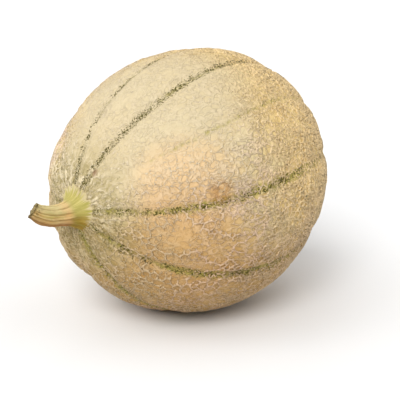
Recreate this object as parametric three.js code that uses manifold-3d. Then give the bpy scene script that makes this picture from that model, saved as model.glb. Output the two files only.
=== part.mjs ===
// A cantaloupe melon: a ribbed, netted fruit lying on its side, and the short stem it was cut with.
//
// Frame: millimetres, +Z up. The melon's own axis lies along X, with the stem at -X and the
// blossom end at +X. The origin is on the small flat spot that it rests on, under its middle.
//
// A place on the fruit is given by two angles. "along" runs from 0 at the stem pole to PI at the
// blossom pole, and "round" turns about the axis from 0 on top, through PI / 2 on the -Y side.

import * as THREE from 'three';
import { ConvexHull } from 'three/addons/math/ConvexHull.js';
import { mergeVertices } from 'three/addons/utils/BufferGeometryUtils.js';
import Module from 'manifold-3d';

const wasm = await Module();
wasm.setup();

const { degToRad, euclideanModulo, lerp, smoothstep } = THREE.MathUtils;

// ---------------------------------------------------------------- driving dimensions (mm, degrees)

// The fruit: a little longer than it is wide, and not quite true about its axis
const HALF_LENGTH = 81.5;
const RADIUS = 72;
const LEAN_BACK = 4;          // the blossom end swings towards +Y, the stem end towards -Y
const BEND_BACK = 3.3;        // both ends curve towards +Y
const LEAN_UP = 2.1;          // the blossom end rides higher than the stem end
const STEM_POLE_SHIFT = new THREE.Vector3(0, -3.1, 2.8);   // the stem is set off the axis
const STEM_POLE_REACH = 4;    // power that keeps that shift near the stem

// Ten sutures, the grooves between the ribs: unevenly spaced, as they grew
const SUTURES = [-50, -11, 17, 45, 78, 118, 167, 203, 238, 273].map(degToRad);
const SUTURE_BOW = degToRad(4.4);         // how far they bow round the fruit between the poles
const SUTURE_BOW_PHASE = degToRad(30);
const RIB_CROWN = 1.9;        // how far a rib's rounded back falls to its sutures
const GROOVE_DEPTH = 1.5;     // the narrow groove below that
const GROOVE_WIDTH = 3.3;

// The raised net: cork ridges round small cells, drawn about twice life size
const NET_HEIGHT = 1.2;
const NET_ROWS = 22;          // rows of cells from pole to pole
const CELL_WIDTH = 10;
const SUTURE_CELL_WIDTH = 6;
const CELL_WANDER = 0.27;     // how far a cell strays from its row, as a share of its size
const EDGE_WANDER = 0.3;      // the cells beside a suture stray this share of that
const STAGGER = 0.2;          // neighbouring cells sit this share of a row apart
const CELL_FLOOR = 0.8;       // size of a cell's floor against its outline
const CAP_CELLS = 8;          // cells in the ring round each pole
const CAP_RING = 9;           // radius of that ring
const SHORTEST_RIDGE = 1.7;   // a ridge shorter than this closes up
const GROOVE_NET = 0.35;      // the net thins to this share of its height in the grooves
const STEM_NET = 0.5;         // and to this share round the stem
const STEM_NET_REACH = 26;
const NET_SEED = 20260;

// The scar where the blossom was: a low ring round a shallow dimple
const SCAR_RADIUS = 4.6;
const SCAR_RING = 0.7;
const SCAR_RING_WIDTH = 2;
const SCAR_DIMPLE = 1.2;

// The resting spot, pressed flat by the fruit's weight
const SPOT_SINK = 1.3;
const SPOT_CALM = 17;         // the net is pressed flat within this radius
const SPOT_RIM = 27;          // and at full height from this one

// The stem, and the socket that its root sits in
const STEM_PATH = [[0, 0, 0], [-8.5, 0, -0.4], [-16.5, 0.1, 0.2], [-22.5, 0.2, 2.3], [-26.8, 0.2, 5]];
const SOCKET_DEPTH = 2.6;
const GAP = 0.3;              // clearance between the stem and the fruit
const ROOT_RADIUS = 12;
const ROOT_EDGE = 1.1;        // height of the root's edge above the socket floor
const NECK_RADIUS = 6;
const TIP_RADIUS = 4.6;
const FLARE = 2.7;            // how quickly the root narrows to the neck
const LIP = 0.5;              // the cut end spreads a little
const LIP_LENGTH = 1;
const STEM_RIDGES = 10;
const RIDGE_AT_ROOT = 0.9;
const RIDGE_AT_TIP = 0.35;
const STEM_SIDES = 40;
const STEM_RINGS = 24;
const RING_CROWDING = 1.5;    // power that draws the rings together at the flared root
const CUT_SLANT = 2.8;        // the knife leaned: the +Y side of the end is cut back this far
const CUT_SLANT_LENGTH = 6;   // the rings lean with the cut along this last stretch
const CUT_DISH = 1.1;         // the cut end's pith has shrunk back
const CUT_RIM = 1.2;          // width of the rim round the pith

// ---------------------------------------------------------------- the fruit's skin

const STEM_POLE = 0;
const BLOSSOM_POLE = Math.PI;

/** Where one suture runs at a place along the fruit. */
function sutureRound(suture, along) {

	const bow = SUTURE_BOW * Math.cos(suture - SUTURE_BOW_PHASE);
	return suture + bow * Math.sin(2 * along);

}

/** The rib that a place is on: its span in mm, and the distance to the nearer of its two sutures. */
function ribAt(along, round) {

	const rounds = SUTURES.map(suture => sutureRound(suture, along));
	const turn = 2 * Math.PI;
	const past = rounds.map(start => euclideanModulo(round - start, turn));
	const before = Math.min(...past);
	const after = turn - Math.max(...past);
	const radius = RADIUS * Math.sin(along);
	return { span: (before + after) * radius, distance: Math.min(before, after) * radius };

}

/** How much of a groove a place is in: 1 on a suture, 0 well out on a rib. */
function grooveAt(along, round) {

	return Math.exp(-((ribAt(along, round).distance / GROOVE_WIDTH) ** 2));

}

/** Height of the ribs and the blossom scar at a place, against the plain form. */
function reliefAt(along, round) {

	const { span, distance } = ribAt(along, round);
	const fromPole = RADIUS * Math.sin(along);
	const ribbed = smoothstep(fromPole, ROOT_RADIUS / 2, 3 * ROOT_RADIUS);
	const crown = RIB_CROWN * (1 - distance / Math.max(span / 2, GROOVE_WIDTH)) ** 2;
	const ribs = -ribbed * (crown + GROOVE_DEPTH * grooveAt(along, round));
	if (along < Math.PI / 2) return ribs;
	const ring = SCAR_RING * Math.exp(-(((fromPole - SCAR_RADIUS) / SCAR_RING_WIDTH) ** 2));
	const dimple = SCAR_DIMPLE * Math.exp(-((fromPole / SCAR_RADIUS) ** 2));
	return ribs + ring - dimple;

}

/** The plain form at a place, with its middle at the origin. */
function formAt(along, round) {

	const c = -Math.cos(along);
	const radius = RADIUS * Math.sin(along);
	const stemEnd = Math.max(0, -c) ** STEM_POLE_REACH;
	return new THREE.Vector3(
		HALF_LENGTH * c,
		LEAN_BACK * c + BEND_BACK * c * c - radius * Math.sin(round),
		LEAN_UP * c + radius * Math.cos(round),
	).addScaledVector(STEM_POLE_SHIFT, stemEnd);

}

/** The outward direction at a place: that of the plain ellipsoid. */
function outwardAt(along, round) {

	const s = Math.sin(along);
	return new THREE.Vector3(
		-Math.cos(along) / HALF_LENGTH,
		-s * Math.sin(round) / RADIUS,
		s * Math.cos(round) / RADIUS,
	).normalize();

}

function skinAt(along, round, height = 0) {

	return formAt(along, round).addScaledVector(outwardAt(along, round), reliefAt(along, round) + height);

}

/** Height of the fruit's middle above the surface that it rests on. */
function restHeight() {

	const step = degToRad(1);
	let lowest = 0;
	for (let along = degToRad(60); along < degToRad(120); along += step) {

		for (let round = degToRad(150); round < degToRad(210); round += step) {

			lowest = Math.min(lowest, skinAt(along, round).z);

		}

	}

	return -lowest - SPOT_SINK;

}

const MIDDLE = new THREE.Vector3(0, 0, restHeight());

/** The net's height at a place: low in the grooves and round the stem, pressed flat under the fruit. */
function netAt(along, round) {

	const place = formAt(along, round);
	const onTop = place.z > 0;
	const spot = onTop ? 1 : smoothstep(Math.hypot(place.x, place.y), SPOT_CALM, SPOT_RIM);
	const groove = lerp(1, GROOVE_NET, grooveAt(along, round));
	const fromStem = along < Math.PI / 2 ? RADIUS * Math.sin(along) : RADIUS;
	const stem = lerp(STEM_NET, 1, smoothstep(fromStem, ROOT_RADIUS, STEM_NET_REACH));
	return NET_HEIGHT * spot * groove * stem;

}

// ---------------------------------------------------------------- the net's cells

/** A repeatable stream of numbers between 0 and 1. */
function seeded(seed) {

	let state = seed;
	return () => {

		state = (Math.imul(state, 1664525) + 1013904223) >>> 0;
		return state / 2 ** 32;

	};

}

/** Cell middles, in rows round the fruit: one on each suture and the rest across the ribs. */
function cellMiddles() {

	const random = seeded(NET_SEED);
	const stray = size => (2 * random() - 1) * CELL_WANDER * size;
	const middles = [];
	const rowStep = Math.PI / NET_ROWS;
	for (let row = 1; row < NET_ROWS - 1; row++) {

		const rowAlong = (row + 0.5) * rowStep;
		const radius = RADIUS * Math.sin(rowAlong);
		SUTURES.forEach((suture, k) => {

			const next = SUTURES[(k + 1) % SUTURES.length] + (k + 1 === SUTURES.length ? 2 * Math.PI : 0);
			const start = sutureRound(suture, rowAlong);
			const span = (sutureRound(next, rowAlong) - start) * radius;
			const inner = span - 2 * SUTURE_CELL_WIDTH;
			const count = inner > 0 ? 1 + Math.round(inner / CELL_WIDTH) : 0;
			middles.push({ along: rowAlong + stray(rowStep) / 2, round: start });
			for (let i = 0; i < count; i++) {

				const share = count === 1 ? 0.5 : i / (count - 1);
				const across = SUTURE_CELL_WIDTH + share * inner;
				const edge = i === 0 || i === count - 1;
				const wander = stray(CELL_WIDTH) * (edge ? EDGE_WANDER : 1);
				const stagger = (i % 2 ? 1 : -1) * STAGGER * rowStep;
				middles.push({
					along: rowAlong + stagger + stray(rowStep),
					round: start + (across + wander) / radius,
				});

			}

		});

	}

	for (const pole of [STEM_POLE, BLOSSOM_POLE]) {

		const ringAlong = Math.abs(pole - CAP_RING / RADIUS);
		middles.push({ along: pole, round: 0 });
		for (let i = 0; i < CAP_CELLS; i++) {

			middles.push({ along: ringAlong, round: (i / CAP_CELLS) * 2 * Math.PI });

		}

	}

	return middles;

}

const toDirection = ({ along, round }) => new THREE.Vector3(
	-Math.cos(along), -Math.sin(along) * Math.sin(round), Math.sin(along) * Math.cos(round));

const toPlace = direction => ({
	along: Math.acos(THREE.MathUtils.clamp(-direction.x, -1, 1)),
	round: Math.atan2(-direction.y, direction.z),
});

/** The cells round a set of middles: each is a ring of corners, every corner shared by its neighbours. */
function cellsRound(middles) {

	const points = middles.map(toDirection);
	const hull = new ConvexHull().setFromPoints(points);
	const corners = hull.faces.map(face => face.normal.clone().normalize());
	const faceNumber = new Map(hull.faces.map((face, i) => [face, i]));

	// A ridge that would be very short closes up, and its two corners become one
	const leader = corners.map((_, i) => i);
	const find = i => (leader[i] === i ? i : find(leader[i]));
	for (const [i, face] of hull.faces.entries()) {

		let edge = face.edge;
		do {

			const j = faceNumber.get(edge.twin.face);
			if (RADIUS * corners[i].distanceTo(corners[j]) < SHORTEST_RIDGE) leader[find(j)] = find(i);
			edge = edge.next;

		} while (edge !== face.edge);

	}

	const merged = corners.map(() => new THREE.Vector3());
	corners.forEach((corner, i) => merged[find(i)].add(corner));
	merged.forEach(corner => corner.normalize());

	// Each cell's corners, in order round its middle
	const around = new Map(points.map(point => [point, new Set()]));
	hull.faces.forEach((face, i) => {

		for (let n = 0; n < 3; n++) around.get(face.getEdge(n).head().point).add(find(i));

	});

	const cells = points.map(point => {

		const north = new THREE.Vector3(0, 0, 1).addScaledVector(point, -point.z).normalize();
		const east = new THREE.Vector3().crossVectors(north, point);
		const turnOf = i => Math.atan2(merged[i].dot(north), merged[i].dot(east));
		return [...around.get(point)].sort((a, b) => turnOf(a) - turnOf(b));

	});

	return { corners: merged, cells: cells.filter(cell => cell.length > 2) };

}

// ---------------------------------------------------------------- solids and meshes

function geometryOf(points, triangles) {

	const geometry = new THREE.BufferGeometry();
	geometry.setAttribute('position', new THREE.Float32BufferAttribute(points.flatMap(p => p.toArray()), 3));
	geometry.setIndex(triangles);
	return geometry;

}

function solidOf(geometry) {

	const bare = geometry.clone();
	bare.deleteAttribute('normal');
	bare.deleteAttribute('uv');
	const merged = mergeVertices(bare);
	return new wasm.Manifold(new wasm.Mesh({
		numProp: 3,
		vertProperties: new Float32Array(merged.attributes.position.array),
		triVerts: new Uint32Array(merged.index.array),
	}));

}

function geometryOfSolid(solid) {

	const mesh = solid.getMesh();
	const geometry = new THREE.BufferGeometry();
	geometry.setAttribute('position', new THREE.Float32BufferAttribute(mesh.vertProperties, 3));
	geometry.setIndex([...mesh.triVerts]);
	return geometry;

}

function meshOf(name, geometry, material) {

	geometry.computeVertexNormals();
	const mesh = new THREE.Mesh(geometry, material);
	mesh.name = name;
	return mesh;

}

// ---------------------------------------------------------------- the fruit

/** The netted skin: every cell has a ring of ridges down to a lower floor. */
function nettedSkin() {

	const { corners, cells } = cellsRound(cellMiddles());
	const points = [];
	const triangles = [];
	const add = (direction, netShare) => {

		const { along, round } = toPlace(direction);
		points.push(skinAt(along, round, netShare * netAt(along, round)).add(MIDDLE));
		return points.length - 1;

	};

	const crest = new Map();
	const crestPoint = corner => {

		if (!crest.has(corner)) crest.set(corner, add(corners[corner], 1));
		return crest.get(corner);

	};

	for (const cell of cells) {

		const middle = new THREE.Vector3();
		cell.forEach(corner => middle.add(corners[corner]));
		middle.normalize();
		const outer = cell.map(crestPoint);
		const inner = cell.map(corner => add(middle.clone().lerp(corners[corner], CELL_FLOOR).normalize(), 0));
		cell.forEach((_, i) => {

			const j = (i + 1) % cell.length;
			triangles.push(outer[i], outer[j], inner[j], outer[i], inner[j], inner[i]);
			if (i > 0 && j > 0) triangles.push(inner[0], inner[i], inner[j]);

		});

	}

	return geometryOf(points, triangles);

}

/** The block of table under the resting plane, which presses the fruit flat. */
function tableBlock() {

	const size = 2 * HALF_LENGTH;
	return new THREE.BoxGeometry(size, size, size).translate(0, 0, -size / 2);

}

// ---------------------------------------------------------------- the stem

const OUTWARD = new THREE.Vector3(-1, 0, 0);
const stemPole = formAt(STEM_POLE, 0).add(MIDDLE);
const socketFloor = stemPole.clone().addScaledVector(OUTWARD, -SOCKET_DEPTH);

/** One ridged outline round a point of the stem, with its +Y side cut back by the slant. */
function stemRing(centre, direction, radius, ridge, slant = 0) {

	const sideways = new THREE.Vector3(0, 1, 0);
	sideways.addScaledVector(direction, -direction.y).normalize();
	const upwards = new THREE.Vector3().crossVectors(sideways, direction);
	return Array.from({ length: STEM_SIDES }, (_, i) => {

		const turn = (i / STEM_SIDES) * 2 * Math.PI;
		const reach = radius + ridge * Math.cos(STEM_RIDGES * turn);
		return centre.clone()
			.addScaledVector(sideways, reach * Math.cos(turn))
			.addScaledVector(upwards, reach * Math.sin(turn))
			.addScaledVector(direction, -slant * Math.cos(turn));

	});

}

/** A closed solid through a row of rings, with a middle point to close each end. */
function loft(rings, firstMiddle, lastMiddle) {

	const sides = rings[0].length;
	const points = [...rings.flat(), firstMiddle, lastMiddle];
	const first = points.length - 2;
	const last = points.length - 1;
	const triangles = [];
	for (let i = 0; i < sides; i++) {

		const j = (i + 1) % sides;
		for (let ring = 0; ring < rings.length - 1; ring++) {

			const a = ring * sides;
			const b = a + sides;
			triangles.push(a + i, b + i, a + j, a + j, b + i, b + j);

		}

		const end = (rings.length - 1) * sides;
		triangles.push(first, i, j, last, end + j, end + i);

	}

	return geometryOf(points, triangles);

}

/** The stem: rings along a gently rising curve, from its flared root to its cut end. */
function stemGeometry() {

	const start = socketFloor.clone().addScaledVector(OUTWARD, GAP);
	const bends = STEM_PATH.map(([x, y, z]) => stemPole.clone().add(new THREE.Vector3(x, y, z)));
	const path = new THREE.CatmullRomCurve3([start, ...bends]);
	const length = path.getLength();
	const ringAt = (distance, inset = 0) => {

		const centre = path.getPointAt(distance / length);
		const direction = path.getTangentAt(distance / length);
		const free = Math.max(0, distance - ROOT_EDGE);
		const flare = Math.exp(-free / FLARE);
		const lip = LIP * Math.exp(-(((length - distance) / LIP_LENGTH) ** 2));
		const slant = CUT_SLANT * Math.exp(-(((length - distance) / CUT_SLANT_LENGTH) ** 2));
		const neck = lerp(NECK_RADIUS, TIP_RADIUS, free / (length - ROOT_EDGE));
		const radius = lerp(neck, ROOT_RADIUS, flare) + lip - inset;
		return stemRing(centre, direction, radius, lerp(RIDGE_AT_TIP, RIDGE_AT_ROOT, flare), slant);

	};

	const rings = [ringAt(0)];
	for (let i = 0; i <= STEM_RINGS; i++) {

		rings.push(ringAt(lerp(ROOT_EDGE, length, (i / STEM_RINGS) ** RING_CROWDING)));

	}

	const tip = path.getPointAt(1);
	const tipDirection = path.getTangentAt(1);
	const dish = ringAt(length, CUT_RIM).map(p => p.addScaledVector(tipDirection, -CUT_DISH / 2));
	rings.push(dish);
	return loft(rings, start, tip.addScaledVector(tipDirection, -CUT_DISH));

}

/** The socket for the root: its own outline, wider by the gap, from the socket's floor outwards. */
function socketCutter() {

	const mouth = socketFloor.clone().addScaledVector(OUTWARD, 2 * SOCKET_DEPTH);
	const ring = centre => stemRing(centre, OUTWARD, ROOT_RADIUS + GAP, RIDGE_AT_ROOT);
	return loft([ring(socketFloor), ring(mouth)], socketFloor, mouth);

}

// ---------------------------------------------------------------- the melon

const rind = new THREE.MeshStandardMaterial({ color: 0xdcc795, roughness: 0.7, metalness: 0 });
const dryStalk = new THREE.MeshStandardMaterial({ color: 0xb9a053, roughness: 0.75, metalness: 0 });

const fruitSolid = solidOf(nettedSkin())
	.subtract(solidOf(tableBlock()))
	.subtract(solidOf(socketCutter()));

const melon = new THREE.Group();
melon.add(
	meshOf('fruit', geometryOfSolid(fruitSolid), rind),
	meshOf('stem', stemGeometry(), dryStalk),
);

export default melon;
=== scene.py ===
# %% [markdown]
# # A netted cantaloupe melon
#
# A melon is one grown body. Ten ribs run from the stalk to the blossom scar, the grooves between
# them are called sutures, and a net of cork stands up from the skin where it once cracked and
# healed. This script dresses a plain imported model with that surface: the fruit and its stalk are
# rebuilt at their real size, with the net's own ridges as geometry, and then given their colours.
#
# Everything is in metres once it is finished. While a piece is being worked out it is in
# millimetres, because its sizes are easier to read that way.

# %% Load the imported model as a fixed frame
import math

import bpy
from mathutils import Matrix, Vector


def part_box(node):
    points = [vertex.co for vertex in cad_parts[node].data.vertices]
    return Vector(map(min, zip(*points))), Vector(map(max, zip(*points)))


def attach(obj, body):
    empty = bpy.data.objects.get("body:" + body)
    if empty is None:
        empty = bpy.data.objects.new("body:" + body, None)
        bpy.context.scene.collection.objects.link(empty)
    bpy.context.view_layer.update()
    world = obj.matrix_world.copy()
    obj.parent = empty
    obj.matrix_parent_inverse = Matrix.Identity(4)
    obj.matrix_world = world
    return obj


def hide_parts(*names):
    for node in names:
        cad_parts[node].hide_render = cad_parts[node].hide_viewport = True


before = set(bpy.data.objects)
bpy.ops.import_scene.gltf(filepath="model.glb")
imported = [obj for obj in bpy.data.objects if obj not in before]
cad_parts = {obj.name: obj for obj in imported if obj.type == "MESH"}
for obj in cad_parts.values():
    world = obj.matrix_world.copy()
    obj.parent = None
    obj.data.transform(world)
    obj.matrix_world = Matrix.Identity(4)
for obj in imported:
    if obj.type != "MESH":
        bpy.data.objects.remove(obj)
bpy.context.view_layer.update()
MM = 0.001
for node in ("fruit", "stem"):
    corners = [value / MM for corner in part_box(node) for value in corner]
    print(node, "box, mm:", [round(value, 1) for value in corners])

# %% [markdown]
# ## Formulas as node trees
#
# Blender's node trees are drawn by hand as a rule, and a long formula becomes a wall of boxes.
# Written in a script, each box is two or three lines. The small classes below wrap an output
# socket so that `a * b + 1` adds the boxes itself, which keeps a formula looking like a formula.
# They serve geometry trees and material trees alike, because both have the same maths nodes.


# %% Fields: outputs that can be added, multiplied and raised to a power
class Field:
    """A number or a vector that a node tree works out."""

    def __init__(self, nodes, socket):
        self.nodes = nodes
        self.socket = socket

    def __add__(self, other):
        return self.nodes.math("ADD", self, other)

    def __radd__(self, other):
        return self.nodes.math("ADD", other, self)

    def __sub__(self, other):
        return self.nodes.math("SUBTRACT", self, other)

    def __rsub__(self, other):
        return self.nodes.math("SUBTRACT", other, self)

    def __mul__(self, other):
        return self.nodes.math("MULTIPLY", self, other)

    def __truediv__(self, other):
        return self.nodes.math("DIVIDE", self, other)

    def __neg__(self):
        return self.nodes.math("MULTIPLY", self, -1.0)

    def __pow__(self, other):
        return self.nodes.math("POWER", self, other)


# %% Nodes: one short call for each box of a tree
class Nodes:
    """Adds nodes to a tree. An input is given by its name or place, as a value or a Field."""

    def __init__(self, tree):
        self.tree = tree

    def fill(self, socket, value):
        if isinstance(value, Field):
            self.tree.links.new(value.socket, socket)
        else:
            socket.default_value = value

    def node(self, kind, inputs=None, **settings):
        node = self.tree.nodes.new(kind)
        for name, value in settings.items():
            setattr(node, name, value)
        sockets = [s for s in node.inputs if s.enabled]
        for key, value in (inputs or {}).items():
            found = sockets[key] if isinstance(key, int) else next(s for s in sockets if s.name == key)
            self.fill(found, value)
        return node

    def field(self, kind, inputs=None, output=None, **settings):
        """A node's named output, or its first one."""
        node = self.node(kind, inputs, **settings)
        sockets = [s for s in node.outputs if s.enabled]
        return Field(self, next(s for s in sockets if output in (None, s.name)))

    def math(self, operation, *values):
        return self.field("ShaderNodeMath", dict(enumerate(values)), operation=operation)

    def at_least(self, value, least):
        return self.math("MAXIMUM", value, least)

    def bell(self, distance, width):
        """1 at no distance, and fading out past the width."""
        return self.math("EXPONENT", -((distance / width) ** 2.0))

    def vector(self, operation, *values, output=None):
        return self.field("ShaderNodeVectorMath", dict(enumerate(values)), output, operation=operation)

    def added(self, first, second):
        return self.vector("ADD", first, second)

    def scaled(self, vector, factor):
        return self.vector("SCALE", vector, factor)

    def normalized(self, vector):
        return self.vector("NORMALIZE", vector)

    def length(self, vector):
        return self.vector("LENGTH", vector, output="Value")

    def split(self, vector):
        node = self.node("ShaderNodeSeparateXYZ", {0: vector})
        return [Field(self, socket) for socket in node.outputs]

    def join(self, x, y, z):
        return self.field("ShaderNodeCombineXYZ", {0: x, 1: y, 2: z})

    def ramp(self, value, start, end, low=0.0, high=1.0):
        """Goes smoothly from low to high while the value goes from start to end."""
        return self.field(
            "ShaderNodeMapRange",
            {"Value": value, "From Min": start, "From Max": end, "To Min": low, "To Max": high},
            interpolation_type="SMOOTHSTEP")

    def noise(self, vector, scale, detail=2.0, output="Fac"):
        inputs = {"Vector": vector, "Scale": scale, "Detail": detail}
        return self.field("ShaderNodeTexNoise", inputs, output)

    def drift(self, vector, scale, detail, reach):
        """A vector that noise turns about: none on average, up to half the reach each way."""
        drifting = self.noise(vector, scale, detail, "Color")
        return self.scaled(self.vector("SUBTRACT", drifting, (0.5, 0.5, 0.5)), reach)

    def near(self, vector, spot, inner, outer):
        """1 where a unit vector lies within the inner angle of a direction, 0 past the outer one."""
        facing = self.vector("DOT_PRODUCT", vector, tuple(Vector(spot).normalized()), output="Value")
        return self.ramp(facing, math.cos(math.radians(outer)), math.cos(math.radians(inner)))


# %% The start and the end of every geometry tree
SOCKET_KINDS = {int: "NodeSocketInt", float: "NodeSocketFloat", Vector: "NodeSocketVector"}


def new_tree(name, sizes):
    """A tree with an input for its material and for every size, as Nodes and as named Fields."""
    tree = bpy.data.node_groups.new(name, "GeometryNodeTree")
    tree.interface.new_socket(name="Geometry", in_out="INPUT", socket_type="NodeSocketGeometry")
    tree.interface.new_socket(name="Geometry", in_out="OUTPUT", socket_type="NodeSocketGeometry")
    tree.interface.new_socket(name="Material", in_out="INPUT", socket_type="NodeSocketMaterial")
    for label, size in sizes.items():
        tree.interface.new_socket(name=label, in_out="INPUT", socket_type=SOCKET_KINDS[type(size)])
    nodes = Nodes(tree)
    group = nodes.node("NodeGroupInput")
    return nodes, {socket.name: Field(nodes, socket) for socket in group.outputs}


def finished_tree(nodes, mesh, material, creased=False):
    """The end of every tree: metres, smooth shading, real geometry and its material."""
    mesh = nodes.field("GeometryNodeTransform", {"Geometry": mesh, "Scale": (MM, MM, MM)})
    mesh = nodes.field("GeometryNodeSetShadeSmooth", {"Geometry": mesh})
    creasing = {"Geometry": mesh, "Selection": creased, "Shade Smooth": False}
    mesh = nodes.field("GeometryNodeSetShadeSmooth", creasing, domain="EDGE")
    mesh = nodes.field("GeometryNodeRealizeInstances", {"Geometry": mesh})
    mesh = nodes.field("GeometryNodeSetMaterial", {"Geometry": mesh, "Material": material})
    nodes.node("NodeGroupOutput", {"Geometry": mesh})
    return nodes.tree


# %% Attributes that a tree writes for its own later steps and for the material
def stored(nodes, geometry, name, value, selection=True, data_type="FLOAT", domain="POINT"):
    inputs = {"Geometry": geometry, "Name": name, "Value": value, "Selection": selection}
    return nodes.field("GeometryNodeStoreNamedAttribute", inputs, data_type=data_type, domain=domain)


def named(nodes, name, data_type="FLOAT"):
    return nodes.field("GeometryNodeInputNamedAttribute", {"Name": name}, data_type=data_type)


def moved(nodes, geometry, position):
    return nodes.field("GeometryNodeSetPosition", {"Geometry": geometry, "Position": position})


def here(nodes):
    return nodes.field("GeometryNodeInputPosition")


# %% [markdown]
# ## The fruit's form
#
# The body is close to an ellipsoid, a little bent, with ribs pressed into it by the sutures. A
# form like this follows a rule, so it could be a sculpted mesh, a subdivided cage or a formula.
# The formula is used here: the net's thousands of small cells can then be laid on a plain ball
# first and carried onto the melon in one move, and the same numbers tell the material where the
# grooves are. A place is a direction on the ball. Its x runs from -1 at the stalk to 1 at the
# blossom end, and it turns about that axis from 0 on top, through a quarter turn at the front.
#
# Each suture has a width of its own, because some are overgrown by the net and others lie open.

# %% Sizes of the fruit, in millimetres
HALF_LENGTH = 81.5
RADIUS = 72.0
LEAN_BACK = 4.0                       # the blossom end stands this far behind the middle
BEND_BACK = 3.3                       # and both ends are bent back by this
LEAN_UP = 2.1
STEM_POLE_SHIFT = (0.0, -3.1, 2.8)    # the stalk's end is drawn aside
STEM_POLE_REACH = 4.0
FAR_SHOULDER = (-0.8, 0.56, -0.2)     # the shoulder behind the stalk stands out a little
SHOULDER_ANGLES = (10, 38)
SHOULDER_LIFT = 1.4
SCAR_RADIUS = 4.6
SCAR_RING = 0.7
SCAR_RING_WIDTH = 2.0
SCAR_DIMPLE = 1.2
SPOT_SINK = 1.3                       # the table cuts this much off the round form
SPOT_CALM = 15.0                      # the net is flat as far as this from the flat spot's middle
SPOT_RIM = 24.0                       # and whole again from here
TURN = 2 * math.pi
middle_height = RADIUS - SPOT_SINK
print("middle of the fruit above the table, mm:", round(middle_height, 1))

# %% Sizes of the sutures, in millimetres
# Each suture runs at its degrees round the fruit. It has half the width of its green band, half
# the width of its dark flecks, and its share of the full depth in the stalk and blossom halves.
# A negative width of flecks leaves only a few of them
SUTURES = {
    -50: (1.0, 0.6, 0.6, 1.0),
    -11: (0.8, 2.1, 0.8, 1.0),
    17: (1.0, 2.5, 0.8, 0.8),
    45: (1.2, -0.3, 0.35, 0.3),
    78: (3.2, 2.1, 0.7, 0.35),
    118: (3.2, 2.9, 0.8, 0.8),
    167: (4.6, 2.4, 1.0, 0.9),
    203: (2.0, 1.0, 0.9, 1.0),
    238: (1.4, 0.6, 0.25, 0.9),
    273: (2.4, 1.4, 0.4, 0.7),
}
SUTURE_CHANGE = (-0.3, 0.5)           # the depth changes over these x of the ball
SUTURE_BOW = math.radians(4.4)        # sutures sweep round a little on their way
SUTURE_BOW_PHASE = math.radians(30)
RIB_CROWN = 1.5
GROOVE_DEPTH = 1.2
GROOVE_WIDTH = 3.3
RIBS_RISE = (6.0, 36.0)               # how far from either pole the ribs begin, and are whole
print(len(SUTURES), "sutures")


# %% The form as node formulas
class Place:
    """The formulas of one place on the fruit, from its direction on a plain ball."""

    def __init__(self, nodes, direction):
        self.nodes = nodes
        self.direction = direction
        self.x, self.y, self.z = nodes.split(direction)
        self.ring = nodes.math("SQRT", nodes.at_least(1.0 - self.x * self.x, 0.0))
        self.round = nodes.math("ARCTAN2", -self.y, self.z)

    def rib(self):
        """In mm: how far from a suture, inside a green band and a line of flecks, and how low."""
        nodes = self.nodes
        double_angle = self.ring * self.x * -2.0
        reach = self.ring * RADIUS
        blossom_half = nodes.ramp(self.x, *SUTURE_CHANGE)
        before = after = TURN
        turns = []
        for degrees in SUTURES:
            suture = math.radians(degrees)
            bow = SUTURE_BOW * math.cos(suture - SUTURE_BOW_PHASE)
            past = nodes.math("WRAP", self.round - (double_angle * bow + suture), TURN, 0.0)
            turns.append(nodes.math("MINIMUM", past, TURN - past))
            before = nodes.math("MINIMUM", before, past)
            after = nodes.math("MINIMUM", after, TURN - past)
        half_span = nodes.at_least((before + after) * reach / 2.0, GROOVE_WIDTH)
        band, flecked, valley = -RADIUS, -RADIUS, 0.0
        for turn, (green, dark, at_stalk, at_blossom) in zip(turns, SUTURES.values()):
            distance = turn * reach
            depth = at_stalk + blossom_half * (at_blossom - at_stalk)
            beside = nodes.at_least(1.0 - distance / half_span, 0.0)
            groove = nodes.bell(distance, GROOVE_WIDTH) * GROOVE_DEPTH
            band = nodes.at_least(band, green - distance)
            flecked = nodes.at_least(flecked, dark - distance)
            valley = nodes.at_least(valley, (beside * beside * RIB_CROWN + groove) * depth)
        suture = nodes.math("MINIMUM", before, after) * reach
        return {"suture": suture, "band": band, "flecked": flecked, "valley": valley}

    def relief(self, valley):
        """Ribs, grooves and the blossom scar, against the plain form."""
        nodes = self.nodes
        from_pole = self.ring * RADIUS
        ribbed = nodes.ramp(from_pole, *RIBS_RISE)
        ring = nodes.bell(from_pole - SCAR_RADIUS, SCAR_RING_WIDTH) * SCAR_RING
        dimple = nodes.bell(from_pole, SCAR_RADIUS) * SCAR_DIMPLE
        blossom_end = nodes.math("GREATER_THAN", self.x, 0.0)
        shoulder = nodes.near(self.direction, FAR_SHOULDER, *SHOULDER_ANGLES) * SHOULDER_LIFT
        return (ring - dimple) * blossom_end + shoulder - valley * ribbed

    def form(self):
        """The plain form, with the table at height 0."""
        nodes = self.nodes
        stem_end = nodes.at_least(-self.x, 0.0) ** STEM_POLE_REACH
        shift_y = stem_end * STEM_POLE_SHIFT[1]
        shift_z = stem_end * STEM_POLE_SHIFT[2] + middle_height
        return nodes.join(
            self.x * HALF_LENGTH,
            self.y * RADIUS + self.x * LEAN_BACK + self.x * self.x * BEND_BACK + shift_y,
            self.z * RADIUS + self.x * LEAN_UP + shift_z)

    def outward(self):
        nodes = self.nodes
        return nodes.normalized(nodes.join(self.x / HALF_LENGTH, self.y / RADIUS, self.z / RADIUS))


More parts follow.
